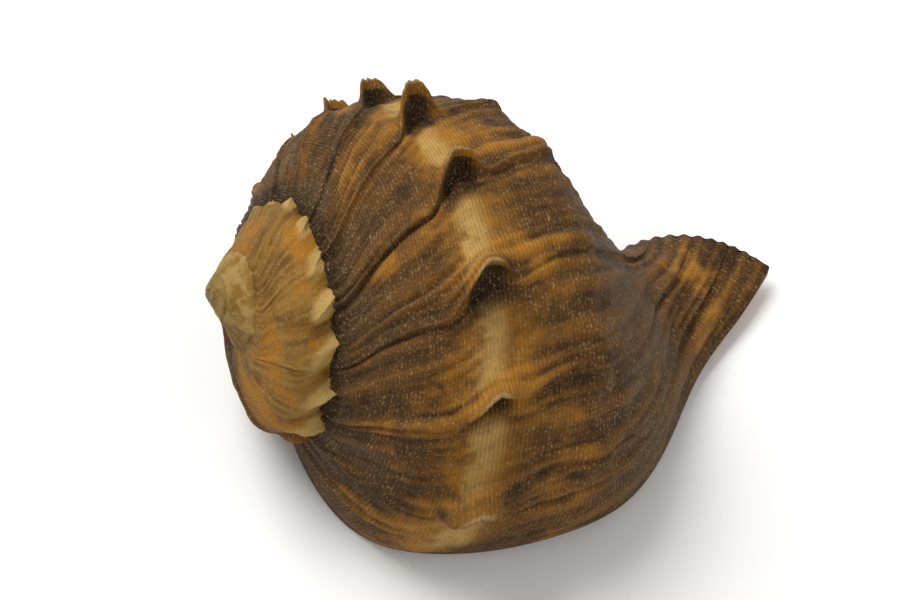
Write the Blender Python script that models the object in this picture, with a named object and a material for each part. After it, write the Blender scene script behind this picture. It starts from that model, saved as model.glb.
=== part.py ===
"""A heavy, right-handed murex shell of the rapa whelk kind, lying on its mouth.

The skin is a lip outline that turns about the coil axis and grows at a steady rate. Spines, knobs and
folds repeat along it. The solid is that swept skin, less the hollow behind the mouth and a thin slice where
it rests.
"""

import math

import bmesh
import bpy
import numpy as np
from mathutils import Matrix

# Units
MM = 0.001
TURN = 2.0 * math.pi

# Growth: how much larger everything is after one turn, and how many turns there are
GROWTH_PER_TURN = 2.24
WHORLS = 3.5

# Lip outlines from the suture to the tip of the canal, at the mouth's size, by growth angle in degrees, which
# ends with 0 at the mouth. Each point is its distance from the coil axis and its place along it in millimetres.
LIPS = {
    0.0: (
        (14.0, 14.2),
        (21.8, 17.1),
        (29.7, 20.5),
        (36.7, 27.5),
        (38.2, 34.6),
        (37.4, 50.9),
        (33.9, 60.2),
        (25.3, 68.7),
        (14.5, 76.4),
        (8.8, 84.6),
        (9.1, 88.9),
    ),
    -180.0: (
        (14.2, 14.5),
        (22.7, 17.3),
        (29.9, 21.8),
        (38.8, 28.4),
        (40.6, 35.4),
        (39.5, 53.4),
        (34.0, 58.5),
        (23.7, 66.0),
        (13.5, 73.8),
        (8.2, 82.5),
        (11.4, 87.3),
    ),
    -360.0: (
        (14.4, 14.8),
        (24.6, 15.3),
        (33.8, 17.4),
        (44.8, 24.9),
        (43.0, 35.0),
        (36.7, 54.8),
        (36.3, 60.1),
        (26.6, 68.2),
        (15.5, 73.9),
        (9.4, 81.4),
        (9.5, 85.5),
    ),
    -540.0: (
        (14.4, 14.8),
        (23.1, 17.2),
        (30.2, 23.0),
        (41.0, 29.8),
        (41.7, 36.7),
        (36.2, 55.6),
        (35.7, 60.2),
        (26.0, 68.0),
        (15.1, 73.8),
        (9.2, 81.4),
        (9.9, 85.5),
    ),
}
# How many degrees each of those points runs ahead of the shoulder keel
AHEAD = (38.0, 38.0, 21.0, 9.5, 1.0, -18.0, -21.5, -26.0, -36.0, -75.0, -115.0)
# How many degrees more the older growth lines run ahead there, and over how many degrees behind the lip that
# begins
LINES_AHEAD = (0.0, 0.0, 0.0, 0.0, 0.0, 11.0, 12.5, 13.0, 11.0, 10.0, 10.0)
LINES_BEGIN = 60.0
# Which points of the lip lie on the two keels
SHOULDER_KEEL = 4
LOWER_KEEL = 5

# The way back from the canal to the suture, past the navel and along the coil axis: distance from the axis,
# place along it, degrees ahead of the shoulder keel
WAY_BACK = (
    (6.0, 86.0, -112.0),
    (4.4, 76.0, -108.0),
    (3.2, 62.0, -95.0),
    (2.2, 46.0, -60.0),
    (1.5, 25.0, 0.0),
    (4.0, 14.4, 37.0),
)
# The solid pillar on the coil axis that every whorl winds round: distance along the axis, radius
PILLAR = (
    (2.6, 0.3),
    (12.0, 1.9),
    (38.0, 5.6),
    (48.0, 5.2),
    (52.0, 3.0),
)
PILLAR_SIDES = 12

# The columella side of the hollow behind the mouth, from the suture to the canal: distance from the coil
# axis and place along it
HOLLOW_INNER_SIDE = (
    (22.4, 20.6),
    (20.4, 26.0),
    (16.6, 34.0),
    (12.6, 45.0),
    (10.6, 59.0),
    (9.6, 71.0),
    (8.2, 79.5),
    (7.6, 84.0),
)
# Wall thickness between the skin and the hollow, at the mouth
WALL = 2.0
# Growth angles between which the hollow runs, and the shares of the lip outline between which it lies
HOLLOW_STARTS = -300.0
HOLLOW_RUNS_OUT = 12.0
HOLLOW_FROM = 0.12
HOLLOW_TO = 0.985

# Growth angle of the spine nearest the mouth, and the steps from each spine back to the next, of which the last
# goes on repeating
LAST_SPINE = -34.0
SPINE_STEPS = (27.5, 27.5, 28.0, 27.0, 24.5, 22.5, 22.0, 23.0)
# Spines on the shoulder keel, at the mouth's size: height, half width and forward lean, then the share of
# the height that they have one turn back
SPINE_HEIGHT = 5.6
SPINE_HALF_WIDTH = 5.0
SPINE_LEAN = 1.7
SPIRE_SPINES = 0.6
# Knobs on the lower keel, folds between the two, and scallops of the canal's edge, at the mouth's size, with
# the degrees from one scallop to the next
KNOB_HEIGHT = 1.3
KNOB_HALF_WIDTH = 5.0
FOLD_HEIGHT = 0.55
SCALLOP_HEIGHT = 0.9
SCALLOP_SPACING = 28.3
# The folds die out in this share of the outline at its ends, and over these degrees towards the mouth
FOLD_ENDS = 0.12
LIP_FADE = 20.0
# Shape of one fold along the growth: phase, share of its height, share of its lean
FOLD_STEPS = (
    (0.00, 0.00, 0.00),
    (0.38, 0.14, 0.00),
    (0.59, 0.45, 0.00),
    (0.72, 1.00, 1.00),
    (0.765, 0.34, 0.00),
    (0.84, 0.00, 0.00),
)
CREST_PHASE = 0.72
# Which of those steps the middle whorls and the first whorls keep, and the growth angles from which they do
MIDDLE_STEPS = (0, 2, 3, 5)
MIDDLE_WHORLS = -400.0
FIRST_STEPS = (0, 3)
FIRST_WHORLS = -760.0

# The first whorl ends in a smooth nodule
NODULE_RADIUS = 1.5
NODULE_PLACE = 1.6

# Points on the ramp and on the base of the lip outline, across the other side of a section, and of the
# hollow, which has this many rings
RAMP_POINTS = 6
BASE_POINTS = 10
BACK_POINTS = 8
HOLLOW_POINTS = 16
HOLLOW_RINGS = 30

# How the shell lies: turned about its coil axis, then laid down with its canal end low. It is worn flat
# where it touches, by this much.
TURN_TO_REST = 297.6
CANAL_TILT = 23.5
WORN_FLAT = 0.7
GROUND_SIZE = 120.0
GROUND_DEPTH = 10.0

SHELL_COLOUR = (0.16, 0.085, 0.04, 1.0)
SHELL_ROUGHNESS = 0.6
# Edges that turn more than this many degrees stay sharp in the shading
SHARP_EDGE = 50.0


def clear_scene():
    """Removes every object that the new scene starts with."""
    for item in list(bpy.data.objects):
        bpy.data.objects.remove(item, do_unlink=True)


def natural_curve(knots, values, places):
    """The natural cubic curve through values at knots, read at places."""
    count = len(knots)
    gaps = np.diff(knots)
    slopes = np.diff(values, axis=0) / gaps[:, None]
    matrix = np.eye(count)
    right = np.zeros_like(values)
    for i in range(1, count - 1):
        matrix[i, i - 1:i + 2] = gaps[i - 1], 2.0 * (gaps[i - 1] + gaps[i]), gaps[i]
        right[i] = 6.0 * (slopes[i] - slopes[i - 1])
    bend = np.linalg.solve(matrix, right)
    span = np.clip(np.searchsorted(knots, places, side="right") - 1, 0, count - 2)
    gap = gaps[span][:, None]
    after = (places - knots[span])[:, None]
    before = gap - after
    return (
        (bend[span] * before**3 + bend[span + 1] * after**3) / (6.0 * gap)
        + (values[span] / gap - bend[span] * gap / 6.0) * before
        + (values[span + 1] / gap - bend[span + 1] * gap / 6.0) * after
    )


def in_space(rows):
    """Points in space for rows of axis distance, axial place and degrees ahead of the keel."""
    rows = np.array(rows, float)
    angle = np.radians(rows[:, 2])
    return np.stack([rows[:, 0] * np.cos(angle), rows[:, 0] * np.sin(angle), rows[:, 1]], axis=1)


def knots_of(points):
    """Share of the way along a run of points, from 0 to 1."""
    steps = np.linalg.norm(np.diff(points, axis=0), axis=1)
    return np.concatenate([[0.0], np.cumsum(steps)]) / steps.sum()


LIP_POINTS = np.stack([in_space(np.column_stack([lip, AHEAD])) for lip in LIPS.values()])
LIP_AGES = -np.array(list(LIPS))
LIP_KNOTS = knots_of(LIP_POINTS[0])


def outline_length():
    """Length of the lip outline at the mouth, in millimetres."""
    return np.linalg.norm(np.diff(LIP_POINTS[0], axis=0), axis=1).sum()


def outline_places():
    """Shares of the way along the lip outline: even, but closer where the spines and the knobs stand."""
    length = outline_length()
    keel = LIP_KNOTS[SHOULDER_KEEL] + np.linspace(-1.0, 1.0, 5) * SPINE_HALF_WIDTH / length
    lower = LIP_KNOTS[LOWER_KEEL] + np.linspace(-1.0, 1.0, 3) * KNOB_HALF_WIDTH / length
    ramp = np.linspace(0.0, keel[0], RAMP_POINTS)[:-1]
    between = [(keel[-1] + lower[0]) / 2.0]
    base = np.linspace(lower[-1], 1.0, BASE_POINTS)[1:]
    return np.concatenate([ramp, keel, between, lower, base])


def age_of(angle, oldest):
    """0 at the mouth, 1 from so many degrees back on."""
    return min(max(-angle / oldest, 0.0), 1.0)


def carried(points, angle):
    """Points of the lip, carried along the spiral by degrees: one number for all, or one for each."""
    turn = np.radians(np.broadcast_to(angle, len(points)))
    size = GROWTH_PER_TURN ** (turn / TURN)
    cosine, sine = np.cos(turn), np.sin(turn)
    moved = np.stack(
        [
            points[:, 0] * cosine - points[:, 1] * sine,
            points[:, 0] * sine + points[:, 1] * cosine,
            points[:, 2],
        ],
        axis=1,
    )
    return moved * size[:, None]


def lip_points(angle, places):
    """The growth line at a growth angle, at the mouth's size."""
    age = age_of(angle, LIP_AGES[-1]) * LIP_AGES[-1]
    points = natural_curve(LIP_AGES, LIP_POINTS.reshape(len(LIPS), -1), np.array([age])).reshape(-1, 3)
    begun = age_of(angle, LINES_BEGIN)
    ahead = np.interp(places, LIP_KNOTS, LINES_AHEAD) * begun * begun * (3.0 - 2.0 * begun)
    return carried(natural_curve(LIP_KNOTS, points, places), ahead)


def way_back(outline):
    """The rest of the closed section: from the canal's tip back to the suture, inside the shell."""
    points = np.concatenate([outline[-1:], in_space(WAY_BACK), outline[:1]])
    places = np.linspace(0.0, 1.0, BACK_POINTS + 2)[1:-1]
    return natural_curve(knots_of(points), points, places)


def directions(angle, places):
    """Unit vectors out of the skin and forward along the growth, at a growth angle."""
    here = carried(lip_points(angle, places), angle)
    forward = carried(lip_points(angle + 1.0, places), angle + 1.0) - here
    across = np.gradient(here, axis=0)
    out = np.cross(forward, across)
    out /= np.linalg.norm(out, axis=1)[:, None]
    forward /= np.linalg.norm(forward, axis=1)[:, None]
    return here, out, forward


def bell(distance, half_width):
    """1 at the middle, 0 from half_width on, with a smooth run between."""
    share = np.clip(np.abs(distance) / half_width, 0.0, 1.0)
    return (1.0 - share**2) ** 2


def skin_ring(angle, height, lean, places):
    """One ring of the outer skin, raised by one step of the fold."""
    base, out, forward = directions(angle, places)
    size = GROWTH_PER_TURN ** (angle / 360.0)
    length = outline_length()
    keel_way = (places - LIP_KNOTS[SHOULDER_KEEL]) * length
    lower_way = (places - LIP_KNOTS[LOWER_KEEL]) * length
    tip_way = (places - 1.0) * length
    inside = np.clip(np.minimum(places, 1.0 - places) / FOLD_ENDS, 0.0, 1.0)
    spine = SPINE_HEIGHT * bell(keel_way, SPINE_HALF_WIDTH)
    spine *= 1.0 - (1.0 - SPIRE_SPINES) * age_of(angle, 360.0)
    knob = KNOB_HEIGHT * bell(lower_way, KNOB_HALF_WIDTH)
    wave = 0.5 + 0.5 * math.cos(TURN * angle / SCALLOP_SPACING)
    scallop = SCALLOP_HEIGHT * bell(tip_way, KNOB_HALF_WIDTH) * wave
    fade = age_of(angle, LIP_FADE)
    raised = ((spine + knob + FOLD_HEIGHT * inside) * height + scallop) * fade * size
    leaning = SPINE_LEAN * bell(keel_way, SPINE_HALF_WIDTH) * lean * fade * size
    return base + out * raised[:, None] + forward * leaning[:, None]


def growth_steps():
    """Growth angles of the rings, with the fold's height and lean at each, from the apex to the mouth."""
    first = -360.0 * WHORLS
    steps = [(0.0, 0.0, 0.0)]
    start = LAST_SPINE + (1.0 - CREST_PHASE) * SPINE_STEPS[0]
    spine = 0
    while True:
        spacing = SPINE_STEPS[min(spine, len(SPINE_STEPS) - 1)]
        kept = range(len(FOLD_STEPS))
        if start < MIDDLE_WHORLS:
            kept = MIDDLE_STEPS
        if start < FIRST_WHORLS:
            kept = FIRST_STEPS
        for step in reversed(kept):
            phase, height, lean = FOLD_STEPS[step]
            angle = start - (1.0 - phase) * spacing
            if angle < first:
                return sorted(steps)
            steps.append((angle, height, lean))
        start -= spacing
        spine += 1


def skin_rings():
    """Closed sections of the whole shell, before it is hollowed."""
    places = outline_places()
    rings = []
    for angle, height, lean in growth_steps():
        outer = skin_ring(angle, height, lean, places)
        back = carried(way_back(lip_points(angle, places)), angle)
        rings.append(np.concatenate([outer, back]))
    return rings


def hollow_rings():
    """Closed sections of the hollow, from its inner end out through the mouth."""
    places = np.linspace(HOLLOW_FROM, HOLLOW_TO, HOLLOW_POINTS)
    inner = np.array(HOLLOW_INNER_SIDE, float)
    lip_places = [place for _, place in LIPS[0.0]]
    ahead = np.interp(inner[:, 1], lip_places, AHEAD)
    inner_points = in_space(np.column_stack([inner, ahead]))[::-1]
    inner_side = natural_curve(knots_of(inner_points), inner_points, np.linspace(0.0, 1.0, BACK_POINTS))
    rings = []
    for angle in np.linspace(HOLLOW_STARTS, HOLLOW_RUNS_OUT, HOLLOW_RINGS):
        base, out, _ = directions(angle, places)
        size = GROWTH_PER_TURN ** (angle / 360.0)
        outer = base - out * WALL * size
        rings.append(np.concatenate([outer, carried(inner_side, angle)]))
    return rings


def closed_end(mesh, row, turned):
    """Closes a tube's end with a strip between the outline and the other side of the section."""
    outer = row[:-BACK_POINTS]
    inner = row[-BACK_POINTS:][::-1]
    i = j = 0
    while i < len(outer) - 1 or j < len(inner) - 1:
        inner_done = j == len(inner) - 1
        outer_done = i == len(outer) - 1
        if inner_done or (not outer_done and outer[i + 1].co.z < inner[j + 1].co.z):
            corners = (outer[i], outer[i + 1], inner[j])
            i += 1
        else:
            corners = (outer[i], inner[j + 1], inner[j])
            j += 1
        mesh.faces.new(corners[::-1] if turned else corners)


def tube(name, rings):
    """A closed mesh through rings of equal count."""
    mesh = bmesh.new()
    rows = [[mesh.verts.new(point * MM) for point in ring] for ring in rings]
    count = len(rows[0])
    for lower, upper in zip(rows[:-1], rows[1:]):
        for i in range(count):
            j = (i + 1) % count
            mesh.faces.new((lower[i], lower[j], upper[j], upper[i]))
    closed_end(mesh, rows[0], True)
    closed_end(mesh, rows[-1], False)
    bmesh.ops.triangulate(mesh, faces=mesh.faces)
    if mesh.calc_volume(signed=True) < 0.0:
        bmesh.ops.reverse_faces(mesh, faces=mesh.faces)
    return as_object(mesh, name)


def pillar():
    """The solid core on the coil axis, turned from its outline."""
    mesh = bmesh.new()
    rows = []
    for place, radius in PILLAR:
        ring = bmesh.ops.create_circle(mesh, segments=PILLAR_SIDES, radius=radius * MM)["verts"]
        bmesh.ops.translate(mesh, verts=ring, vec=(0.0, 0.0, place * MM))
        rows.append(ring)
    for lower, upper in zip(rows[:-1], rows[1:]):
        for i in range(PILLAR_SIDES):
            j = (i + 1) % PILLAR_SIDES
            mesh.faces.new((lower[i], lower[j], upper[j], upper[i]))
    mesh.faces.new(rows[0][::-1])
    mesh.faces.new(rows[-1])
    bmesh.ops.recalc_face_normals(mesh, faces=mesh.faces)
    return as_object(mesh, "pillar")


def nodule():
    """The smooth first whorl at the tip."""
    mesh = bmesh.new()
    place = Matrix.Translation((0.0, 0.0, NODULE_PLACE * MM))
    bmesh.ops.create_icosphere(mesh, subdivisions=2, radius=NODULE_RADIUS * MM, matrix=place)
    return as_object(mesh, "nodule")


def as_object(mesh, name):
    """A new object in the scene from a finished bmesh."""
    data = bpy.data.meshes.new(name)
    mesh.to_mesh(data)
    mesh.free()
    data.shade_smooth()
    data.set_sharp_from_angle(angle=math.radians(SHARP_EDGE))
    item = bpy.data.objects.new(name, data)
    bpy.context.scene.collection.objects.link(item)
    return item


def shell_material():
    """Weathered brown shell."""
    material = bpy.data.materials.new("weathered_shell")
    material.use_nodes = True
    shader = material.node_tree.nodes["Principled BSDF"]
    shader.inputs["Base Color"].default_value = SHELL_COLOUR
    shader.inputs["Roughness"].default_value = SHELL_ROUGHNESS
    shader.inputs["Metallic"].default_value = 0.0
    return material


def combine(item, other, operation, overlapping=False):
    """Joins the other object's volume to the item, or takes it out."""
    other.hide_render = True
    other.display_type = "WIRE"
    modifier = item.modifiers.new(other.name, "BOOLEAN")
    modifier.operation = operation
    modifier.solver = "EXACT"
    modifier.use_self = overlapping
    modifier.object = other


def lying_matrix(rings):
    """Lays the shell on its mouth: the middle of its box over the origin, its worn faces at height 0."""
    turn = Matrix.Rotation(math.radians(TURN_TO_REST), 4, "Z")
    lay = Matrix.Rotation(math.radians(90.0 + CANAL_TILT), 4, "Y")
    rest = lay @ turn
    placed = np.concatenate(rings) @ np.array(rest.to_3x3()).T * MM
    low, high = placed.min(axis=0), placed.max(axis=0)
    middle = (low + high) / 2.0
    return Matrix.Translation((-middle[0], -middle[1], -low[2] - WORN_FLAT * MM)) @ rest


def ground():
    """A block under height 0 that the shell is worn flat against."""
    mesh = bmesh.new()
    size = Matrix.Diagonal((GROUND_SIZE * MM, GROUND_SIZE * MM, GROUND_DEPTH * MM, 1.0))
    place = Matrix.Translation((0.0, 0.0, -GROUND_DEPTH * MM / 2.0))
    bmesh.ops.create_cube(mesh, size=1.0, matrix=place @ size)
    return as_object(mesh, "ground")


def main():
    """Builds the shell."""
    clear_scene()
    rings = skin_rings()
    shell = tube("shell", rings)
    shell.data.materials.append(shell_material())
    core, tip, hollow = pillar(), nodule(), tube("hollow", hollow_rings())
    for item in (shell, core, tip, hollow):
        item.matrix_world = lying_matrix(rings)
    combine(shell, core, "UNION", overlapping=True)
    combine(shell, tip, "UNION")
    combine(shell, hollow, "DIFFERENCE", overlapping=True)
    combine(shell, ground(), "DIFFERENCE")


main()
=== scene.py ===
"""A weathered murex shell on its CAD frame: the wound skin with its spines, the floor, light and camera."""

import math

import bmesh
import bpy
import numpy as np
from mathutils import Matrix, Vector


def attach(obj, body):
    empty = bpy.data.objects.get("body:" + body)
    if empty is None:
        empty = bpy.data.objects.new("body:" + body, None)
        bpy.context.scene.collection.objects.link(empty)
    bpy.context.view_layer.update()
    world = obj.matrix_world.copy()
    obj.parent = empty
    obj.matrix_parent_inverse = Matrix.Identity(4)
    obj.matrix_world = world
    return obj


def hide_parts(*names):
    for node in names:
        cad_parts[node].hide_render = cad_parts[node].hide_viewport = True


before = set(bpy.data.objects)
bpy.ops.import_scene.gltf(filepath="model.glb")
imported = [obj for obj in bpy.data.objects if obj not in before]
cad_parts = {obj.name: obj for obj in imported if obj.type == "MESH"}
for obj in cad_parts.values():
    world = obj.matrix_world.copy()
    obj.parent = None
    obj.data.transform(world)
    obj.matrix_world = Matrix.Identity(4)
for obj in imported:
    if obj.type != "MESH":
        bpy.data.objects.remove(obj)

bl_info = {
    "name": "Murex shell",
    "version": (1, 0, 0),
    "blender": (4, 5, 0),
    "location": "View3D > Sidebar > Murex shell",
    "description": "Winds up a spined murex shell and sets it on a pale floor",
    "category": "Object",
}

MM = 0.001
NODE = "shell"

# Lip outlines from the suture to the tip of the canal, at the mouth's size, by growth angle in degrees, which
# is 0 at the mouth. Each point is its distance from the coil axis and its place along it, in millimetres.
LIPS = {
    0.0: (
        (14.0, 14.2),
        (21.8, 17.1),
        (29.7, 20.5),
        (36.7, 27.5),
        (38.2, 34.6),
        (37.4, 50.9),
        (33.9, 60.2),
        (25.3, 68.7),
        (14.5, 76.4),
        (8.8, 84.6),
        (9.1, 88.9),
    ),
    -180.0: (
        (14.2, 14.5),
        (22.7, 17.3),
        (29.9, 21.8),
        (38.8, 28.4),
        (40.6, 35.4),
        (39.5, 53.4),
        (34.0, 58.5),
        (23.7, 66.0),
        (13.5, 73.8),
        (8.2, 82.5),
        (11.4, 87.3),
    ),
    -360.0: (
        (14.4, 14.8),
        (24.6, 15.3),
        (33.8, 17.4),
        (44.8, 24.9),
        (43.0, 35.0),
        (36.7, 54.8),
        (36.3, 60.1),
        (26.6, 68.2),
        (15.5, 73.9),
        (9.4, 81.4),
        (9.5, 85.5),
    ),
    -540.0: (
        (14.4, 14.8),
        (23.1, 17.2),
        (30.2, 23.0),
        (41.0, 29.8),
        (41.7, 36.7),
        (36.2, 55.6),
        (35.7, 60.2),
        (26.0, 68.0),
        (15.1, 73.8),
        (9.2, 81.4),
        (9.9, 85.5),
    ),
}
# How many degrees each of those points runs ahead of the shoulder keel
AHEAD = (38.0, 38.0, 21.0, 9.5, 1.0, -18.0, -21.5, -26.0, -36.0, -75.0, -115.0)
# How many degrees more the older growth lines run ahead there, and how far behind the lip that is in full
LINES_AHEAD = (0.0, 0.0, 0.0, 0.0, 0.0, 11.0, 12.5, 13.0, 11.0, 10.0, 10.0)
LINES_BEGIN = 60.0
SHOULDER_KEEL = 4
LOWER_KEEL = 5
# The way back from the canal to the suture, inside the shell: distance from the coil axis, place along it and
# degrees ahead of the shoulder keel. Then the columella side of the hollow, without the degrees.
WAY_BACK = (
    (6.0, 86.0, -112.0),
    (4.4, 76.0, -108.0),
    (3.2, 62.0, -95.0),
    (2.2, 46.0, -60.0),
    (1.5, 25.0, 0.0),
    (4.0, 14.4, 37.0),
)
COLUMELLA_SIDE = (
    (22.4, 20.6),
    (20.4, 26.0),
    (16.6, 34.0),
    (12.6, 45.0),
    (10.6, 59.0),
    (9.6, 71.0),
    (8.2, 79.5),
    (7.6, 84.0),
)
# Shares of the lip outline between which the mouth is open, and the growth angle at which the hollow ends
HOLLOW_FROM = 0.12
HOLLOW_TO = 0.985
HOLLOW_ENDS = -300.0
WHORLS = 4.3

# Steps in degrees from each spine back to the next; the last goes on repeating
SPINE_STEPS = (27.5, 27.5, 28.0, 27.0, 24.5, 22.5, 22.0, 23.0)
# One fold of the skin in 32 rows: row, share of the way to the next fold, rise, and share of the shift along
# the growth. The crest is row 20, so every fourth row still meets it.
FOLD = (
    (0, 0.000, 0.00, 0.00),
    (9, 0.370, 0.03, 0.00),
    (13, 0.500, 0.14, 0.25),
    (16, 0.580, 0.42, 0.70),
    (18, 0.630, 0.78, 0.95),
    (19, 0.652, 0.94, 1.00),
    (20, 0.672, 1.00, 1.00),
    (21, 0.686, 0.93, 1.00),
    (22, 0.692, 0.55, 0.98),
    (23, 0.700, 0.14, 0.94),
    (24, 0.712, -0.20, 0.88),
    (26, 0.762, -0.26, 0.60),
    (28, 0.830, -0.10, 0.28),
    (32, 1.000, 0.00, 0.00),
)
FOLD_ROWS = 32
CREST = 0.672
# Degrees from one scallop of the canal's edge to the next
SCALLOP_SPACING = 9.4
# From a fold number on, one row in so many is kept; the last step is for the smooth tip
ROW_STEPS = ((0, 1), (10, 2), (21, 4), (44, 8))
# Rows of the mesh before the first fold, round the lip's rim and in the hollow, and columns outside and inside
LIP_ROWS = 22
RIM_ROWS = 6
HOLLOW_ROWS = 44
OUTLINE_COLUMNS = 100
BACK_COLUMNS = 16
# How far the lip's rim bulges, in millimetres
RIM_BULGE = 0.8
# Where the columns crowd together: at which outline point, how much, and over how many millimetres
CROWDING = ((SHOULDER_KEEL, 2.6, 5.0), (LOWER_KEEL, 0.5, 6.0))
FINE_STEPS = 4001

# How a spine stands on the lip outline: how square and how sharp it is
SPINE_SQUARE = 4.0
SPINE_SHARP = 1.1
# Reach of the swelling, the bow and the spine's feet, in half widths of a spine, and how far the feet lead
SWELL_REACH = 2.4
BOW_REACH = 1.5
FEET_REACH = 3.0
FEET_LEAD = 0.45
# Share of the outline over which the relief fades at its two ends
ENDS_FADE = 0.10
# Growth angles over which the relief fades: near the lip, at the smooth tip, and towards the spire
LIP_FADE = 20.0
TIP_FADE = (-1300.0, -1000.0)
SPIRE_FADE = (-420.0, -330.0)
# How much more or less of a kind of relief the spire has
SPIRE_RELIEF = {"spine": -0.9, "swell": 1.2, "fold": -0.7, "ripple": -0.3}
# How far, in folds, a swelling's crest comes before the spine's
SWELL_LEAD = 0.06

# Noises of the relief: turns per degree of growth, turns along the lip outline, and detail
RELIEF_NOISES = {
    "ripple": (0.20, 2.6, 1.6),
    "canal_ripple": (0.085, 2.0, 1.6),
    "swelling": (0.04, 1.0, 0.0),
    "lump": (0.11, 30.0, 3.0),
}
# Least and greatest height of a spine, and how fine its chips are along the lip
SPINE_SPREAD = (0.82, 1.18)
CHIPS = 140.0
# How far the ripples' noise strays from its middle at a crest, and where along the lip they turn to the canal's
RIPPLE_CREST = 0.2
RIPPLES_TURN = (0.60, 0.78)
# From which noise to which the swellings grow, and from how much to how much
SWELLING_SPREAD = {"From Min": 0.3, "From Max": 0.7, "To Min": 0.1, "To Max": 1.4}

# How the shell lies: turned about its coil axis, laid down with its canal low, and where its apex then is
TURN_TO_REST = 297.6
CANAL_TILT = 23.5
APEX = (-42.868, 6.280, 30.895)

# The camera, in the shell's own directions: turn about the coil axis, tilt towards the apex, roll, distance
# from the apex, and how far the apex is left of and above the picture's middle, in millimetres
VIEW_TURN = 85.719
VIEW_TILT = 24.877
VIEW_ROLL = 0.36
VIEW_DISTANCE = 368.2
APEX_LEFT = 35.06
APEX_ABOVE = 1.171
LENS = 104.0
SENSOR = 36.0
# The floor is a hair under the worn spots that the shell stands on
FLOOR_HEIGHT = -0.02 * MM
FLOOR_HALF_SIZE = 3.0
# Strength of the white light from all round, and each soft lamp's name, place and size in metres, and watts
ROUND_LIGHT = 0.45
LAMPS = (("key", (-0.20, 0.40, 0.75), 0.5, 7.0), ("fill", (0.55, -0.45, 0.5), 0.6, 1.5))

# Spacing of the fine threads that run along the whorls, at the mouth, in millimetres. It is drawn a little
# coarser than the 0.6 to 0.7 mm that real ones are taken to have, so that it shows.
THREAD_SPACING = 0.76
# Noises of the colour: width in millimetres, which was matched, and detail. The grains are drawn coarser than
# real ones, which would be too fine to show.
COLOUR_NOISES = {"patches": (9.0, 3.0), "mottle": (2.5, 4.0), "grains": (0.42, 2.0)}
NOISE_ROUGHNESS = 0.62
# Growth angles where the paler spire, the second whorl and the nodule at the tip begin
SPIRE_FROM = -350.0
SECOND_WHORL = -730.0
NODULE = -1210.0
# Zones of the skin: what each one follows, where it begins and where it is full. The lip runs from 0 at the
# suture to 1 at the canal's tip, and after_spine from 0 at one spine to 1 at the next. The keel's distance in
# millimetres is from_keel, or strayed where the zone's edge is frayed.
ZONES = {
    "suture": ("lip", 0.26, 0.06),
    # Painted shade in the crease at the suture
    "suture_groove_shade": ("lip", 0.13, 0.05),
    "neck": ("lip", 0.52, 0.68),
    "off_canal": ("lip", 0.84, 0.74),
    "canal": ("lip", 0.74, 0.90),
    "near_keel": ("strayed", 34.0, 2.0),
    "gold_strip": ("strayed", 11.0, 2.2),
    "cream_strip": ("strayed", 4.4, 0.88),
    # Where the painted shade under the spines' hoods reaches, near the keel
    "spine_shade_reach": ("from_keel", 4.6, 2.6),
    "past_hollow": ("after_spine", 0.12, 0.32),
    "before_next": ("after_spine", 0.95, 0.62),
    # Painted shade inside and under each spine's hood, just after its crest
    "spine_hood_shade": ("after_spine", 0.26, 0.06),
    "spine_back": ("spine", 0.10, 0.75),
    "spine_rim": ("spine", 0.82, 1.0),
    "grey_patch": ("patches", 0.60, 0.42),
    "gold_patch": ("patches", 0.42, 0.58),
    "faded": ("mottle", 0.38, 0.56),
    "grain": ("grains", 0.50, 0.70),
    "outside": ("inside", 0.5, 0.0),
    "spire": ("growth", SPIRE_FROM, SPIRE_FROM - 30.0),
    "second_whorl": ("growth", SECOND_WHORL, SECOND_WHORL - 60.0),
    "nodule": ("growth", NODULE, NODULE - 100.0),
}

# Kinds of node and their settings
MATH = "ShaderNodeMath"
VECTORS = "ShaderNodeVectorMath"
COMBINE = "ShaderNodeCombineXYZ"
RANGE = "ShaderNodeMapRange"
NOISE = "ShaderNodeTexNoise"
MIX = "ShaderNodeMix"
READ = "GeometryNodeInputNamedAttribute"
ADD = {"operation": "ADD"}
SUBTRACT = {"operation": "SUBTRACT"}
MULTIPLY = {"operation": "MULTIPLY"}
MULTIPLY_ADD = {"operation": "MULTIPLY_ADD"}
DIVIDE = {"operation": "DIVIDE"}
POWER = {"operation": "POWER"}
ABSOLUTE = {"operation": "ABSOLUTE"}
MAXIMUM = {"operation": "MAXIMUM"}
SINE = {"operation": "SINE"}
FRACTION = {"operation": "FRACT"}
RADIANS = {"operation": "RADIANS"}
SCALE = {"operation": "SCALE"}
SMOOTH = {"interpolation_type": "SMOOTHSTEP"}
COLOURS = {"data_type": "RGBA"}
NUMBERS = {"data_type": "FLOAT"}
ARROWS = {"data_type": "FLOAT_VECTOR"}


def linear(code):
    """The linear colour of an sRGB hex value."""
    parts = [int(code[i : i + 2], 16) / 255.0 for i in (0, 2, 4)]
    return [p / 12.92 if p <= 0.04045 else ((p + 0.055) / 1.055) ** 2.4 for p in parts]


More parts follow.
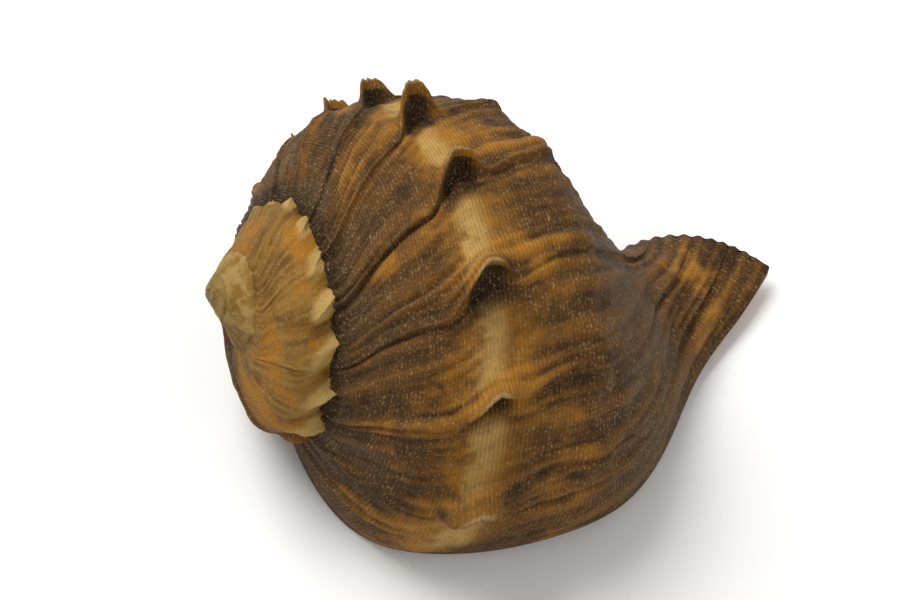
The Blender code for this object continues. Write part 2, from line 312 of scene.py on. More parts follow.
class ShellSizes(bpy.types.PropertyGroup):
    """Sizes of the shell's skin, at the mouth's size."""

    growth: bpy.props.FloatProperty(
        name="Growth per turn", description="How much larger the shell is one turn on", default=2.24,
        min=1.5
    )
    last_spine: bpy.props.FloatProperty(
        name="Last spine", description="Turn back from the lip to the last spine",
        default=math.radians(34.0), subtype="ANGLE"
    )
    spine_height: bpy.props.FloatProperty(
        name="Spine height", description="Height of a spine over the skin", default=4.8 * MM,
        unit="LENGTH"
    )
    spine_width: bpy.props.FloatProperty(
        name="Spine half width", description="Half the width of a spine along the lip", default=5.0 * MM,
        unit="LENGTH"
    )
    spine_bow: bpy.props.FloatProperty(
        name="Spine bow", description="How far a spine's middle lies behind its feet", default=5.0 * MM,
        unit="LENGTH"
    )
    swell_height: bpy.props.FloatProperty(
        name="Swell height", description="Height of the swelling that a spine stands on",
        default=1.3 * MM, unit="LENGTH"
    )
    knob_height: bpy.props.FloatProperty(
        name="Knob height", description="Height of the knobs on the lower keel", default=1.3 * MM,
        unit="LENGTH"
    )
    knob_width: bpy.props.FloatProperty(
        name="Knob half width", description="Half the width of a knob", default=5.0 * MM, unit="LENGTH"
    )
    fold_height: bpy.props.FloatProperty(
        name="Fold height", description="Height of the sharp fold that joins the spines' feet",
        default=0.7 * MM, unit="LENGTH"
    )
    ripple_height: bpy.props.FloatProperty(
        name="Ripple height", description="Height of the rounded growth ripples", default=0.9 * MM,
        unit="LENGTH"
    )
    lump_height: bpy.props.FloatProperty(
        name="Lump height", description="Height of the low, uneven lumps all over the skin",
        default=1.3 * MM, unit="LENGTH"
    )
    scallop_height: bpy.props.FloatProperty(
        name="Scallop height", description="Height of the scallops on the canal's edge",
        default=0.45 * MM, unit="LENGTH"
    )
    ragged: bpy.props.FloatProperty(
        name="Ragged edge", description="How much the spines' edges are chipped", default=0.7, min=0.0,
        subtype="FACTOR"
    )
    wall: bpy.props.FloatProperty(
        name="Wall", description="Thickness of the wall at the lip", default=2.0 * MM, unit="LENGTH"
    )
    seed: bpy.props.IntProperty(
        name="Seed", description="Which set of uneven spines and ripples", default=7
    )


class ShellColours(bpy.types.PropertyGroup):
    """Colours of the shell and the floor."""

    base: bpy.props.FloatVectorProperty(
        name="Brown", description="Main colour of the skin", default=linear("6a4519"), subtype="COLOR"
    )
    gold: bpy.props.FloatVectorProperty(
        name="Gold", description="Worn, warmer patches", default=linear("a8711f"), subtype="COLOR"
    )
    cream: bpy.props.FloatVectorProperty(
        name="Cream", description="Patches on the keel after each spine", default=linear("bd9a58"),
        subtype="COLOR"
    )
    # Painted shade in the ripples' grooves and the threads' furrows, and the dark of the skin's mottled patches
    dark: bpy.props.FloatVectorProperty(
        name="Dark brown", description="Grooves between the ripples", default=linear("352410"),
        subtype="COLOR"
    )
    # Painted shade, near black, inside and under the spines' hoods and in the crease at the suture
    hollow: bpy.props.FloatVectorProperty(
        name="Hollow", description="Inside of a spine, and the suture", default=linear("261809"),
        subtype="COLOR"
    )
    grey: bpy.props.FloatVectorProperty(
        name="Grey olive", description="Dull zone at the suture and the neck", default=linear("56442f"),
        subtype="COLOR"
    )
    spire: bpy.props.FloatVectorProperty(
        name="Spire tan", description="Colour of the first whorls", default=linear("9c7631"),
        subtype="COLOR"
    )
    tip: bpy.props.FloatVectorProperty(
        name="Tip", description="Colour of the nodule at the tip", default=linear("dccba2"),
        subtype="COLOR"
    )
    granule: bpy.props.FloatVectorProperty(
        name="Granules", description="Pale grains on the threads", default=linear("b89f74"),
        subtype="COLOR"
    )
    lining: bpy.props.FloatVectorProperty(
        name="Lining", description="Glossy inside of the mouth", default=linear("d98a4a"),
        subtype="COLOR"
    )
    floor: bpy.props.FloatVectorProperty(
        name="Floor", description="Colour of the floor", default=linear("f4f3f1"), subtype="COLOR"
    )


def natural_curve(knots, values, places):
    """The natural cubic curve through values at knots, read at places."""
    count = len(knots)
    gaps = np.diff(knots)
    slopes = np.diff(values, axis=0) / gaps[:, None]
    matrix = np.eye(count)
    right = np.zeros_like(values)
    for i in range(1, count - 1):
        matrix[i, i - 1 : i + 2] = gaps[i - 1], 2.0 * (gaps[i - 1] + gaps[i]), gaps[i]
        right[i] = 6.0 * (slopes[i] - slopes[i - 1])
    bend = np.linalg.solve(matrix, right)
    span = np.clip(np.searchsorted(knots, places, side="right") - 1, 0, count - 2)
    gap = gaps[span][:, None]
    after = (places - knots[span])[:, None]
    before = gap - after
    return (
        (bend[span] * before**3 + bend[span + 1] * after**3) / (6.0 * gap)
        + (values[span] / gap - bend[span] * gap / 6.0) * before
        + (values[span + 1] / gap - bend[span + 1] * gap / 6.0) * after
    )


def in_space(rows):
    """Points in space for rows of axis distance, axial place and degrees ahead of the keel."""
    rows = np.array(rows, float)
    angle = np.radians(rows[:, 2])
    return np.stack([rows[:, 0] * np.cos(angle), rows[:, 0] * np.sin(angle), rows[:, 1]], axis=1)


def knots_of(points):
    """Share of the way along a run of points, from 0 to 1."""
    steps = np.linalg.norm(np.diff(points, axis=0), axis=1)
    return np.concatenate([[0.0], np.cumsum(steps)]) / steps.sum()


LIP_POINTS = np.stack([in_space(np.column_stack([lip, AHEAD])) for lip in LIPS.values()])
LIP_AGES = -np.array(list(LIPS))
LIP_KNOTS = knots_of(LIP_POINTS[0])
LIP_LENGTH = np.linalg.norm(np.diff(LIP_POINTS[0], axis=0), axis=1).sum()


def columns():
    """Shares of the way along the lip outline, closest together at the two keels."""
    fine = np.linspace(0.0, 1.0, FINE_STEPS)
    crowd = 1.0
    for keel, amount, reach in CROWDING:
        crowd = crowd + amount * np.exp(-(((fine - LIP_KNOTS[keel]) * LIP_LENGTH / reach) ** 2))
    run = np.concatenate([[0.0], np.cumsum((crowd[1:] + crowd[:-1]) / 2.0)])
    return np.interp(np.linspace(0.0, 1.0, OUTLINE_COLUMNS), run / run[-1], fine)


def lip_points(angle, places, growth):
    """The growth line at a growth angle in degrees, at the mouth's size."""
    age = min(max(-angle, 0.0), LIP_AGES[-1])
    points = natural_curve(LIP_AGES, LIP_POINTS.reshape(len(LIPS), -1), np.array([age])).reshape(-1, 3)
    line = natural_curve(LIP_KNOTS, points, places)
    begun = min(max(-angle / LINES_BEGIN, 0.0), 1.0)
    ahead = np.interp(places, LIP_KNOTS, LINES_AHEAD) * begun * begun * (3.0 - 2.0 * begun)
    turn = np.radians(ahead)
    size = growth ** (ahead / 360.0)
    x = (line[:, 0] * np.cos(turn) - line[:, 1] * np.sin(turn)) * size
    y = (line[:, 0] * np.sin(turn) + line[:, 1] * np.cos(turn)) * size
    return np.stack([x, y, line[:, 2] * size], axis=1)


def directions(points, growth):
    """Unit vectors out of the skin and along the growth, at points of the lip outline."""
    rate = math.log(growth) / (2.0 * math.pi)
    forward = rate * points + np.cross([0.0, 0.0, 1.0], points)
    out = np.cross(forward, np.gradient(points, axis=0))
    out /= np.linalg.norm(out, axis=1)[:, None]
    return out, forward / np.linalg.norm(forward, axis=1)[:, None]


def bell(distance, half_width):
    """1 at the middle, 0 from half_width on, with a smooth run between."""
    share = np.clip(np.abs(distance) / half_width, 0.0, 1.0)
    return (1.0 - share**2) ** 2


def way_back(outline):
    """From the canal's tip back to the suture, inside the shell."""
    points = np.concatenate([outline[-1:], in_space(WAY_BACK), outline[:1]])
    return natural_curve(knots_of(points), points, np.linspace(0.0, 1.0, BACK_COLUMNS + 2)[1:-1])


def columella_side():
    """The hollow's side next to the columella, from the canal to the suture."""
    inner = np.array(COLUMELLA_SIDE, float)
    ahead = np.interp(inner[:, 1], [place for _, place in LIPS[0.0]], AHEAD)
    points = in_space(np.column_stack([inner, ahead]))[::-1]
    return natural_curve(knots_of(points), points, np.linspace(0.0, 1.0, BACK_COLUMNS))


def growth_rows(sizes):
    """Growth angle, rise, shift, phase and fold number of each row of the skin, from the apex to the mouth.

    The phase counts folds and runs on without a jump, falling back from the lip.
    """
    table = np.array(FOLD, float)
    rows = []
    start = (1.0 - CREST) * SPINE_STEPS[0] - math.degrees(sizes.last_spine)
    for angle in np.linspace(0.0, start, LIP_ROWS, endpoint=False):
        rows.append((angle, 0.0, 0.0, (angle - start) / SPINE_STEPS[0], 0))
    fold = 0
    while start > -360.0 * WHORLS:
        spacing = SPINE_STEPS[min(fold, len(SPINE_STEPS) - 1)]
        step = [size for first, size in ROW_STEPS if fold >= first][-1]
        for row in range(FOLD_ROWS, 0, -step):
            phase, rise, shift = (np.interp(row, table[:, 0], table[:, i]) for i in (1, 2, 3))
            rows.append((start - (1.0 - phase) * spacing, rise, shift, phase - 1.0 - fold, fold))
        start -= spacing
        fold += 1
    return rows[::-1]


def relief_masks(sizes, places):
    """How much of each kind of relief there is along the lip outline, 0 to 1."""
    keel, lower, tip = (
        (places - start) * LIP_LENGTH * MM for start in (LIP_KNOTS[SHOULDER_KEEL], LIP_KNOTS[LOWER_KEEL], 1.0)
    )
    width = sizes.spine_width
    ends = np.clip(np.minimum(places, 1.0 - places) / ENDS_FADE, 0.0, 1.0)
    return {
        "spine": np.clip(1.0 - np.abs(keel / width) ** SPINE_SQUARE, 0.0, 1.0) ** SPINE_SHARP,
        "swell": bell(keel, SWELL_REACH * width),
        "knob": bell(lower, sizes.knob_width),
        "fold": ends,
        "ripple": ends,
        "scallop": bell(tip, sizes.knob_width),
        "bow": FEET_LEAD * bell(keel, FEET_REACH * width) - bell(keel, BOW_REACH * width),
        "lip": places,
    }


def relief_shares(angle, rise, shift, phase):
    """How much of each kind of relief there is at a growth angle, 0 to 1."""
    fade = min(-angle / LIP_FADE, 1.0)
    smooth = float(np.interp(angle, TIP_FADE, (0.0, 1.0))) * fade
    spire = float(np.interp(angle, SPIRE_FADE, (1.0, 0.0)))
    around = 0.5 + 0.5 * math.cos(2.0 * math.pi * (phase - CREST + SWELL_LEAD))
    shares = {"spine": rise, "swell": around, "knob": around, "fold": rise, "ripple": 1.0}
    for name in shares:
        shares[name] *= smooth * (1.0 + SPIRE_RELIEF.get(name, 0.0) * spire)
    scallop = fade * (0.5 + 0.5 * math.cos(2.0 * math.pi * angle / SCALLOP_SPACING))
    return {**shares, "scallop": scallop, "bow": shift * fade, "lip": 1.0}


def flat_pattern(sizes):
    """The skin before it is wound: its rings at the mouth's size, with all that each point of them needs."""
    places = columns()
    back = np.zeros(BACK_COLUMNS)
    masks = {name: np.concatenate([mask, back]) for name, mask in relief_masks(sizes, places).items()}
    masks["lip"][OUTLINE_COLUMNS:] = np.linspace(1.0, 0.0, BACK_COLUMNS + 2)[1:-1]
    names = ("growth", "phase", "number", "inside")
    values = {name: [] for name in (*masks, *names)}
    points, outs, forwards = [], [], []

    def ring(ring_points, out, forward, shares, *row):
        """Keeps one ring of points, its directions, its shares of the relief and its place in the growth."""
        points.append(ring_points)
        outs.append(out)
        forwards.append(forward)
        for name, mask in masks.items():
            values[name].append(mask * shares.get(name, 0.0))
        for name, value in zip(names, row):
            values[name].append(np.full(len(ring_points), value))

    def outer(angle):
        """A ring of the outside and the way back, with its directions."""
        outline = lip_points(angle, places, sizes.growth)
        whole = np.concatenate([outline, way_back(outline)])
        out, forward = directions(outline, sizes.growth)
        zero = np.zeros((BACK_COLUMNS, 3))
        return whole, np.concatenate([out, zero]), np.concatenate([forward, zero])

    def inner(angle):
        """A ring of the hollow, one wall inside the skin."""
        outline = lip_points(angle, HOLLOW_FROM + (HOLLOW_TO - HOLLOW_FROM) * places, sizes.growth)
        out, _ = directions(outline, sizes.growth)
        return np.concatenate([outline - out * sizes.wall / MM, columella_side()])

    for angle, rise, shift, phase, number in growth_rows(sizes):
        ring(*outer(angle), relief_shares(angle, rise, shift, phase), angle, phase, number, 0.0)
    first, last = outer(0.0)[0], inner(0.0)
    nothing = np.zeros_like(last)
    forward = np.cross([0.0, 0.0, 1.0], last)
    forward /= np.linalg.norm(forward, axis=1)[:, None]
    for row in range(1, RIM_ROWS + 1):
        share = row / (RIM_ROWS + 1)
        bulge = RIM_BULGE * math.sin(math.pi * share)
        placed = first * (1.0 - share) + last * share + forward * bulge
        ring(placed, nothing, nothing, {"lip": 1.0}, 0.0, 0.0, 0.0, share)
    for angle in np.linspace(0.0, HOLLOW_ENDS, HOLLOW_ROWS):
        ring(inner(angle), nothing, nothing, {"lip": 1.0}, angle, 0.0, 0.0, 1.0)
    return points, outs, forwards, values


def pattern_object(sizes):
    """The flat pattern as an object, with what each point needs to know for the winding as attributes."""
    points, outs, forwards, values = flat_pattern(sizes)
    count = len(points[0])
    rings = len(points)
    corners = []
    for row in range(rings - 1):
        for i in range(count):
            j = (i + 1) % count
            corners.append((row * count + i, row * count + j, (row + 1) * count + j, (row + 1) * count + i))
    places = np.concatenate(points)
    ends = []
    for row in (0, rings - 1):
        ends.append(rings * count + len(ends))
        places = np.concatenate([places, [points[row].mean(axis=0)]])
        for i in range(count):
            j = (i + 1) % count
            edge = (row * count + i, row * count + j)
            corners.append((ends[-1], *(edge[::-1] if row == 0 else edge)))
    data = bpy.data.meshes.new(NODE)
    data.from_pydata(places * MM, [], corners)
    for name, column in values.items():
        column = np.concatenate([np.concatenate(column), [column[0][0], column[-1][0]]])
        layer = data.attributes.new(name, "FLOAT", "POINT")
        layer.data.foreach_set("value", column.astype(np.float32))
    for name, column in (("out", outs), ("forward", forwards)):
        column = np.concatenate([np.concatenate(column), np.zeros((2, 3))])
        layer = data.attributes.new(name, "FLOAT_VECTOR", "POINT")
        layer.data.foreach_set("vector", column.astype(np.float32).ravel())
    item = bpy.data.objects.new(NODE + "_skin", data)
    bpy.context.scene.collection.objects.link(item)
    return item


def add(tree, kind, settings=None, inputs=()):
    """Adds a node, with its settings, and gives its shown inputs, by name or place, a value or a link."""
    node = tree.nodes.new(kind)
    for name, value in (settings or {}).items():
        setattr(node, name, value)
    shown = [socket for socket in node.inputs if socket.enabled]
    for key, value in inputs.items() if isinstance(inputs, dict) else enumerate(inputs):
        socket = shown[key] if isinstance(key, int) else next(s for s in shown if s.name == key)
        if isinstance(value, bpy.types.Node):
            value = next(s for s in value.outputs if s.enabled)
        if isinstance(value, bpy.types.NodeSocket):
            tree.links.new(value, socket)
        elif value is not None:
            socket.default_value = value
    return node


def winding_tree():
    """The rule of the shell: each ring of the pattern gets its relief and is wound back along the spiral."""
    tree = bpy.data.node_groups.new("Wind up the shell", "GeometryNodeTree")
    face = tree.interface
    face.new_socket("Geometry", in_out="INPUT", socket_type="NodeSocketGeometry")
    heights = ("Spine", "Swell", "Knob", "Fold", "Scallop", "Ripple")
    for name in ("Growth", "Bow", "Ragged", "Lump", *heights):
        face.new_socket(name, in_out="INPUT", socket_type="NodeSocketFloat")
    face.new_socket("Seed", in_out="INPUT", socket_type="NodeSocketInt")
    face.new_socket("Material", in_out="INPUT", socket_type="NodeSocketMaterial")
    face.new_socket("Geometry", in_out="OUTPUT", socket_type="NodeSocketGeometry")
    given = add(tree, "NodeGroupInput").outputs
    names = ("growth", "lip", "number", "bow", *(name.lower() for name in heights))
    read = {name: add(tree, READ, NUMBERS, {"Name": name}) for name in names}
    arrow = {name: add(tree, READ, ARROWS, {"Name": name}) for name in ("out", "forward")}
    noises = {}
    for name, (turns, way, detail) in RELIEF_NOISES.items():
        along = add(tree, MATH, MULTIPLY, (read["growth"], turns))
        across = add(tree, MATH, MULTIPLY, (read["lip"], way))
        place = add(tree, COMBINE, None, (along, across, given["Seed"]))
        noises[name] = add(tree, NOISE, None, {"Vector": place, "Scale": 1.0, "Detail": detail})
    # Every spine differs in height, and its edge is chipped
    spread = {"Min": SPINE_SPREAD[0], "Max": SPINE_SPREAD[1], "ID": read["number"], "Seed": given["Seed"]}
    uneven = add(tree, "FunctionNodeRandomValue", NUMBERS, spread)
    fine_lip = add(tree, MATH, MULTIPLY, (read["lip"], CHIPS))
    chips = add(tree, COMBINE, None, (fine_lip, read["number"], given["Seed"]))
    chips = add(tree, NOISE, None, {"Vector": chips, "Scale": 1.0, "Detail": 3.0})
    chips = add(tree, MATH, SUBTRACT, (chips, 0.5))
    chipped = add(tree, MATH, MULTIPLY_ADD, (chips, given["Ragged"], uneven))
    # Growth ripples: noise drawn out along the lip, with round crests and narrow grooves, wider on the canal
    ripples = []
    for name in ("ripple", "canal_ripple"):
        centred = add(tree, MATH, ABSOLUTE, (add(tree, MATH, SUBTRACT, (noises[name], 0.5)),))
        ripples.append(add(tree, RANGE, None, {"Value": centred, "From Max": RIPPLE_CREST}))
    on_canal = {"Value": read["lip"], "From Min": RIPPLES_TURN[0], "From Max": RIPPLES_TURN[1]}
    on_canal = add(tree, RANGE, SMOOTH, on_canal)
    crest = add(tree, MIX, None, {"Factor": on_canal, "A": ripples[0], "B": ripples[1]})
    noted = {"Geometry": given["Geometry"], "Name": "crest", "Value": crest}
    noted = add(tree, "GeometryNodeStoreNamedAttribute", {**NUMBERS, "domain": "POINT"}, noted)
    # All kinds of relief together. Some swellings are larger than others.
    height = add(tree, MATH, MULTIPLY, (add(tree, MATH, MULTIPLY, (read["spine"], given["Spine"])), chipped))
    larger = add(tree, RANGE, None, {"Value": noises["swelling"], **SWELLING_SPREAD})
    swollen = add(tree, MATH, MULTIPLY, (read["swell"], larger))
    ripple, lump = (
        add(tree, MATH, MULTIPLY, (add(tree, MATH, SUBTRACT, (noise, 0.5)), read["ripple"]))
        for noise in (crest, noises["lump"])
    )
    reliefs = {
        "Swell": swollen,
        "Knob": read["knob"],
        "Fold": read["fold"],
        "Scallop": read["scallop"],
        "Ripple": ripple,
        "Lump": lump,
    }
    for name, share in reliefs.items():
        height = add(tree, MATH, MULTIPLY_ADD, (share, given[name], height))
    # The relief goes out of the skin, and the bow of the spines along the growth
    shift = add(tree, MATH, MULTIPLY, (read["bow"], given["Bow"]))
    placed = add(tree, "GeometryNodeInputPosition")
    for way, amount in ((arrow["out"], height), (arrow["forward"], shift)):
        moved = add(tree, VECTORS, SCALE, {"Vector": way, "Scale": amount})
        placed = add(tree, VECTORS, ADD, (placed, moved))
    # The winding itself
    size = add(tree, MATH, POWER, (given["Growth"], add(tree, MATH, DIVIDE, (read["growth"], 360.0))))
    turn = add(tree, MATH, RADIANS, (read["growth"],))
    turned = {"Vector": placed, "Angle": turn}
    turned = add(tree, "ShaderNodeVectorRotate", {"rotation_type": "Z_AXIS"}, turned)
    wound = add(tree, VECTORS, SCALE, {"Vector": turned, "Scale": size})
    shell = add(tree, "GeometryNodeSetPosition", None, {"Geometry": noted, "Position": wound})
    real = add(tree, "GeometryNodeRealizeInstances", None, {"Geometry": shell})
    done = add(tree, "GeometryNodeSetMaterial", None, {"Geometry": real, "Material": given["Material"]})
    add(tree, "NodeGroupOutput", None, {"Geometry": done})
    return tree


def baked(item, tree, given):
    """The object after its tree: inputs are set, the result becomes a plain mesh, and the modifier goes."""
    modifier = item.modifiers.new("Nodes", "NODES")
    modifier.node_group = tree
    for socket in tree.interface.items_tree:
        if socket.in_out == "INPUT" and socket.name in given:
            modifier[socket.identifier] = given[socket.name]
    bpy.context.view_layer.update()
    graph = bpy.context.evaluated_depsgraph_get()
    data = bpy.data.meshes.new_from_object(item.evaluated_get(graph))
    item.modifiers.remove(modifier)
    item.data = data
    return data


def lying_matrix():
    """Lays the wound shell on its mouth, as the CAD part lies."""
    turn = Matrix.Rotation(math.radians(TURN_TO_REST), 4, "Z")
    lay = Matrix.Rotation(math.radians(90.0 + CANAL_TILT), 4, "Y")
    return Matrix.Translation(Vector(APEX) * MM) @ lay @ turn


def shell_material(colours):
    """Weathered calcite: a brown, matt outer skin grown in layers, and a glossy lining."""
    # Gives the eye brown and gold folds with painted shade in their grooves and under the spines, cream patches
    # behind the spines, pale grains on fine threads, and a smooth orange inside.
    material = bpy.data.materials.new("weathered_calcite_grown_in_layers")
    material.use_nodes = True
    tree = material.node_tree
    tree.nodes.clear()
    paint = {name: (*colour, 1.0) for name, colour in colours.items()}
    value = {
        name: add(tree, "ShaderNodeAttribute", {"attribute_name": name}).outputs["Fac"]
        for name in ("growth", "lip", "phase", "inside", "crest", "spine", "swell")
    }
    place = add(tree, "ShaderNodeTexCoord").outputs["Object"]
    for name, (width, detail) in COLOUR_NOISES.items():
        grain = {"Scale": 1.0 / (width * MM), "Detail": detail, "Roughness": NOISE_ROUGHNESS}
        value[name] = add(tree, NOISE, None, {"Vector": place, **grain})
    crest, patches, mottle = value["crest"], value["patches"], value["mottle"]
    # How far from the shoulder keel, straight and with a frayed edge, and how far on from a spine to the next
    keel = add(tree, MATH, SUBTRACT, (value["lip"], float(LIP_KNOTS[SHOULDER_KEEL])))
    keel = add(tree, MATH, MULTIPLY, (keel, float(LIP_LENGTH)))
    value["from_keel"] = add(tree, MATH, ABSOLUTE, (keel,))
    stray = add(tree, MATH, MULTIPLY_ADD, (patches, 7.0, add(tree, MATH, MULTIPLY, (mottle, 5.0))))
    keel = add(tree, MATH, ADD, (keel, add(tree, MATH, SUBTRACT, (stray, 6.0))))
    value["strayed"] = add(tree, MATH, ABSOLUTE, (keel,))
    after_spine = add(tree, MATH, SUBTRACT, (value["phase"], CREST + 0.02))
    value["after_spine"] = add(tree, MATH, FRACTION, (after_spine,))
    zone = {
        name: add(tree, RANGE, SMOOTH, {"Value": value[what], "From Min": start, "From Max": full})
        for name, (what, start, full) in ZONES.items()
    }
    # Brown, with painted shade in the ripples' grooves, and darker in mottled patches of its own colour
    shade = add(tree, MATH, MULTIPLY_ADD, (mottle, 0.9, add(tree, MATH, MULTIPLY, (crest, 0.55))))
    shade = add(tree, RANGE, SMOOTH, {"Value": shade, "From Min": 0.25, "From Max": 0.95})
    # Gold on the crests of the ripples, mostly near the keel and on the canal
    golden = patches
    for share, amount in ((zone["near_keel"], 0.22), (crest, 0.16), (zone["canal"], 0.16)):
        golden = add(tree, MATH, MULTIPLY_ADD, (share, amount, golden))
    golden = add(tree, RANGE, SMOOTH, {"Value": golden, "From Min": 0.70, "From Max": 0.98})
    # Dull at the suture and on the neck
    neck = add(tree, MATH, MULTIPLY, (zone["neck"], zone["off_canal"]))
    dull = add(tree, MATH, MAXIMUM, (zone["suture"], neck))
    # Between the hollow of one spine and the back of the next the keel is worn
    worn = add(tree, RANGE, None, {"Value": mottle, "From Min": 0.3, "From Max": 0.6, "To Min": 0.45})
    for share in (zone["past_hollow"], zone["before_next"]):
        worn = add(tree, MATH, MULTIPLY, (worn, share))
    # The first whorls: tan, gold in patches and cream on the swellings, then the pale second whorl and tip
    tanned, pale, chalky = (
        add(tree, MIX, COLOURS, {"Factor": share, "A": paint[first], "B": paint[second]})
        for share, first, second in (
            (shade, "base", "spire"),
            (zone["faded"], "spire", "cream"),
            (zone["faded"], "cream", "tip"),
        )
    )
    swollen = add(tree, MATH, MULTIPLY_ADD, (mottle, 0.5, add(tree, MATH, MULTIPLY, (value["swell"], 0.5))))
    swollen = add(tree, RANGE, SMOOTH, {"Value": swollen, "From Min": 0.42, "From Max": 0.85})
    spotted = add(tree, MIX, COLOURS, {"Factor": zone["gold_patch"], "A": tanned, "B": paint["gold"]})
    spotted = add(tree, MIX, COLOURS, {"Factor": swollen, "A": spotted, "B": paint["cream"]})
    # Threads along the growth, with furrows between that get painted shade, and grains on them, bunched by the
    # mottling
    outside = zone["outside"]
    thread = add(tree, MATH, MULTIPLY, (value["lip"], LIP_LENGTH / THREAD_SPACING * 2.0 * math.pi))
    thread = add(tree, MATH, SINE, (thread,))
    thread = add(tree, RANGE, SMOOTH, {"Value": thread, "From Min": -0.7, "From Max": 0.8})
    thread = add(tree, MATH, MULTIPLY, (thread, outside))
    furrow_shade = add(tree, MATH, SUBTRACT, (outside, thread))
    on_thread = add(tree, RANGE, None, {"Value": thread, "To Min": 0.3, "To Max": 1.0})
    bunched = {"From Min": 0.35, "From Max": 0.65, "To Min": 0.5, "To Max": 1.5}
    bunched = add(tree, RANGE, None, {"Value": mottle, **bunched})
    # The layers of colour, each one over those before: its tone, how strong it is, and where it is
    layers = (
        # Painted shade in the ripples' grooves, mixed with the skin's own darker mottled patches
        (paint["base"], 1.0, shade),
        (paint["gold"], 0.8, golden),
        (paint["grey"], 0.75, dull, zone["grey_patch"]),
        (paint["gold"], 0.6, worn, zone["gold_strip"]),
        (paint["cream"], 0.85, worn, zone["cream_strip"]),
        (paint["gold"], 0.35, zone["spine_back"]),
        # Painted shade inside and under each spine's hood
        (paint["hollow"], 0.9, zone["spine_hood_shade"], zone["spine_shade_reach"]),
        (paint["granule"], 0.45, zone["spine_rim"]),
        # Painted shade in the crease at the suture
        (paint["hollow"], 0.8, zone["suture_groove_shade"]),
        (spotted, 1.0, zone["spire"]),
        (pale, 1.0, zone["second_whorl"]),
        (chalky, 1.0, zone["nodule"]),
        # Painted shade in the furrows between the threads, in mottled patches
        (paint["dark"], 0.22, furrow_shade, mottle),
        (paint["granule"], 0.36, zone["grain"], on_thread, bunched, outside),
        (paint["lining"], 1.0, value["inside"]),
    )
    colour = paint["dark"]
    for tone, strength, *shares in layers:
        for share in shares:
            strength = add(tree, MATH, MULTIPLY, (share, strength))
        colour = add(tree, MIX, COLOURS, {"Factor": strength, "A": colour, "B": tone})
    # The same threads, grains and mottling as relief, a fifth of a millimetre deep
    relief = add(tree, MATH, MULTIPLY, (thread, 0.5))
    for name, amount in (("grains", 1.0), ("mottle", 1.6)):
        rough = add(tree, MATH, MULTIPLY, (value[name], outside))
        relief = add(tree, MATH, MULTIPLY_ADD, (rough, amount, relief))
    bump = add(tree, "ShaderNodeBump", None, {"Height": relief, "Strength": 0.9, "Distance": 0.2 * MM})
    # Matt outside, glossy on the lining
    rough = add(tree, RANGE, None, {"Value": value["inside"], "To Min": 0.65, "To Max": 0.22})
    sheen = add(tree, RANGE, None, {"Value": value["inside"], "To Min": 0.14, "To Max": 0.5})
    look = {"Base Color": colour, "Roughness": rough, "Specular IOR Level": sheen, "Normal": bump}
    shader = add(tree, "ShaderNodeBsdfPrincipled", None, look)
    add(tree, "ShaderNodeOutputMaterial", None, {"Surface": shader})
    return material


def floor_material(colours):
    """Matt painted board, rolled."""
    # Gives the eye an even, pale ground without a shine, on which the shell's shadow is soft.
    material = bpy.data.materials.new("matt_painted_board")
    material.use_nodes = True
    shader = material.node_tree.nodes["Principled BSDF"]
    shader.inputs["Base Color"].default_value = (*colours["floor"], 1.0)
    shader.inputs["Roughness"].default_value = 0.9
    return material


def colours_of(context):
    """The colours as plain lists by name."""
    group = context.scene.shell_colours
    return {name: list(getattr(group, name)) for name in ShellColours.__annotations__}


def set_camera(scene):
    """Puts the camera where the picture was taken from, worked out in the shell's own directions."""
    turn, tilt, roll = (math.radians(value) for value in (VIEW_TURN, VIEW_TILT, VIEW_ROLL))
    towards = Vector((math.cos(tilt) * math.cos(turn), -math.cos(tilt) * math.sin(turn), -math.sin(tilt)))
    right = Vector((math.sin(tilt) * math.cos(turn), -math.sin(tilt) * math.sin(turn), math.cos(tilt)))
    down = Vector((math.sin(turn), math.cos(turn), 0.0))
    across = right * math.cos(roll) - down * math.sin(roll)
    under = right * math.sin(roll) + down * math.cos(roll)
    place = (across * APEX_LEFT + under * APEX_ABOVE + towards * VIEW_DISTANCE) * MM
    lying = lying_matrix()
    turned = lying.to_3x3()
    axes = Matrix([turned @ across, turned @ -under, turned @ towards]).transposed()
    data = bpy.data.cameras.new("camera")
    data.lens = LENS
    data.sensor_width = SENSOR
    data.clip_start = 0.01
    camera = bpy.data.objects.new("camera", data)
    camera.matrix_world = Matrix.Translation(lying @ place) @ axes.to_4x4()
    scene.collection.objects.link(camera)
    scene.camera = camera


class SHELL_OT_skin(bpy.types.Operator):
    """Winds up the shell's skin, its spines and the lining of its mouth"""

    bl_idname = "shell.skin"
    bl_label = "Wind up the shell"

    def execute(self, context):
        sizes = context.scene.shell_sizes
        skin = pattern_object(sizes)
        given = {
            "Growth": sizes.growth,
            "Bow": sizes.spine_bow,
            "Ragged": sizes.ragged,
            "Spine": sizes.spine_height,
            "Swell": sizes.swell_height,
            "Knob": sizes.knob_height,
            "Fold": sizes.fold_height,
            "Scallop": sizes.scallop_height,
            "Lump": sizes.lump_height,
            "Ripple": sizes.ripple_height,
            "Seed": sizes.seed,
            "Material": shell_material(colours_of(context)),
        }
        data = baked(skin, winding_tree(), given)
        data.transform(lying_matrix())
        mesh = bmesh.new()
        mesh.from_mesh(data)
        # The spots that the shell stands on are worn flat
        for vertex in mesh.verts:
            vertex.co.z = max(vertex.co.z, 0.0)
        bmesh.ops.recalc_face_normals(mesh, faces=mesh.faces)
        if mesh.calc_volume(signed=True) < 0.0:
            bmesh.ops.reverse_faces(mesh, faces=mesh.faces)
        mesh.to_mesh(data)
        mesh.free()
        data.shade_smooth()
        if not data.polygons:
            raise RuntimeError("the skin came out empty")
        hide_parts(NODE)
        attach(skin, "root")
        return {"FINISHED"}


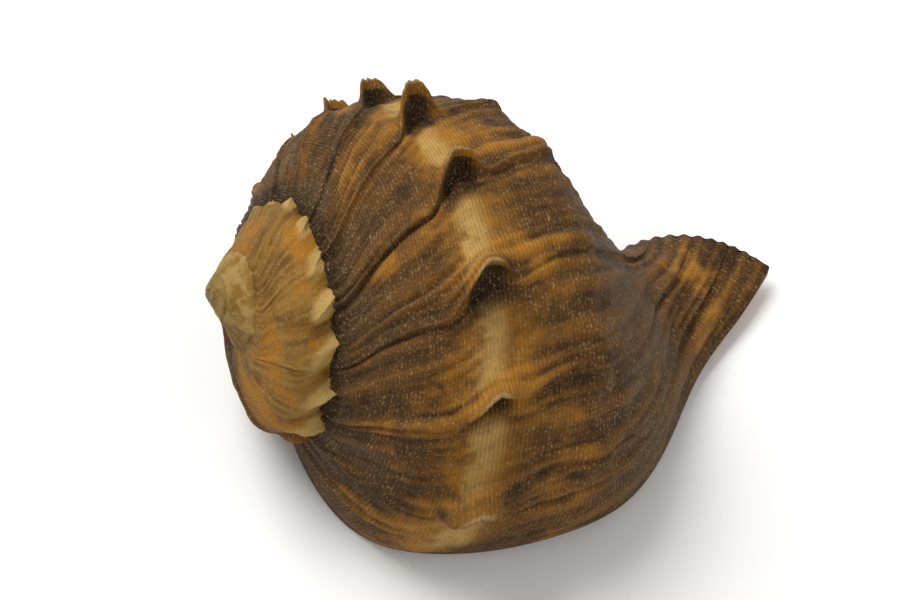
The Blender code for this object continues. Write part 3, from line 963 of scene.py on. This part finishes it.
class SHELL_OT_stage(bpy.types.Operator):
    """Sets out the pale floor, the soft lights and the camera"""

    bl_idname = "shell.stage"
    bl_label = "Set the stage"

    def execute(self, context):
        scene = context.scene
        mesh = bmesh.new()
        bmesh.ops.create_grid(mesh, x_segments=1, y_segments=1, size=FLOOR_HALF_SIZE)
        data = bpy.data.meshes.new("floor")
        mesh.to_mesh(data)
        mesh.free()
        floor = bpy.data.objects.new("floor", data)
        floor.location.z = FLOOR_HEIGHT
        data.materials.append(floor_material(colours_of(context)))
        scene.collection.objects.link(floor)
        world = bpy.data.worlds.new("studio")
        scene.world = world
        world.use_nodes = True
        background = world.node_tree.nodes["Background"]
        background.inputs["Color"].default_value = (1.0, 1.0, 1.0, 1.0)
        background.inputs["Strength"].default_value = ROUND_LIGHT
        for name, place, size, power in LAMPS:
            light = bpy.data.lights.new(name, "AREA")
            light.size = size
            light.energy = power
            lamp = bpy.data.objects.new(name, light)
            lamp.location = place
            lamp.rotation_euler = (-Vector(place)).to_track_quat("-Z", "Y").to_euler()
            scene.collection.objects.link(lamp)
        set_camera(scene)
        scene.view_settings.view_transform = "Standard"
        return {"FINISHED"}


class SHELL_PT_panel(bpy.types.Panel):
    """The shell's pieces, its sizes and its colours"""

    bl_idname = "SHELL_PT_panel"
    bl_label = "Murex shell"
    bl_space_type = "VIEW_3D"
    bl_region_type = "UI"
    bl_category = "Murex shell"

    def draw(self, context):
        for group in (context.scene.shell_sizes, context.scene.shell_colours):
            for name in type(group).__annotations__:
                self.layout.prop(group, name)
        for operator in (SHELL_OT_skin, SHELL_OT_stage):
            self.layout.operator(operator.bl_idname)


CLASSES = (ShellSizes, ShellColours, SHELL_OT_skin, SHELL_OT_stage, SHELL_PT_panel)


def register():
    """Makes the classes known and puts the settings on the scene."""
    for item in CLASSES:
        bpy.utils.register_class(item)
    bpy.types.Scene.shell_sizes = bpy.props.PointerProperty(type=ShellSizes)
    bpy.types.Scene.shell_colours = bpy.props.PointerProperty(type=ShellColours)


def unregister():
    """Takes it all away again."""
    del bpy.types.Scene.shell_colours
    del bpy.types.Scene.shell_sizes
    for item in reversed(CLASSES):
        bpy.utils.unregister_class(item)


def main():
    """Builds the pieces in order."""
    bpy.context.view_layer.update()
    register()
    bpy.ops.shell.skin()
    bpy.ops.shell.stage()


if __name__ == "__main__":
    main()
